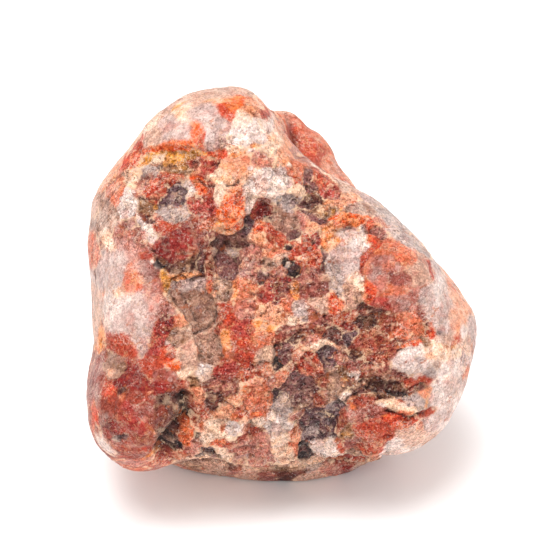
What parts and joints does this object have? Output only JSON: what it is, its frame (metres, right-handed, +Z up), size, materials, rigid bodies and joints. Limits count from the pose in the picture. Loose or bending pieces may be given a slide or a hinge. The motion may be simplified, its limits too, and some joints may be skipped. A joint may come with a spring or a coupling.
{
  "type": "rough rock",
  "caption": "Small rock of coarse red granite, about 45 mm across, with one rough broken face and worn, rounded sides, lying on a flat underside.",
  "frame": {"origin": "middle of the bounding box seen from above, at the level of the flat underside the rock lies on", "axes": "+Z up, away from the flat underside; -Y the way the broken face looks, leaning back 35 degrees; +X to the right when facing the broken face"},
  "size_m": [0.0448, 0.044, 0.0448],
  "materials": {
    "granite": "matte, rough broken stone"
  },
  "bodies": {
    "root": {"rock": "granite"}
  },
  "joints": []
}
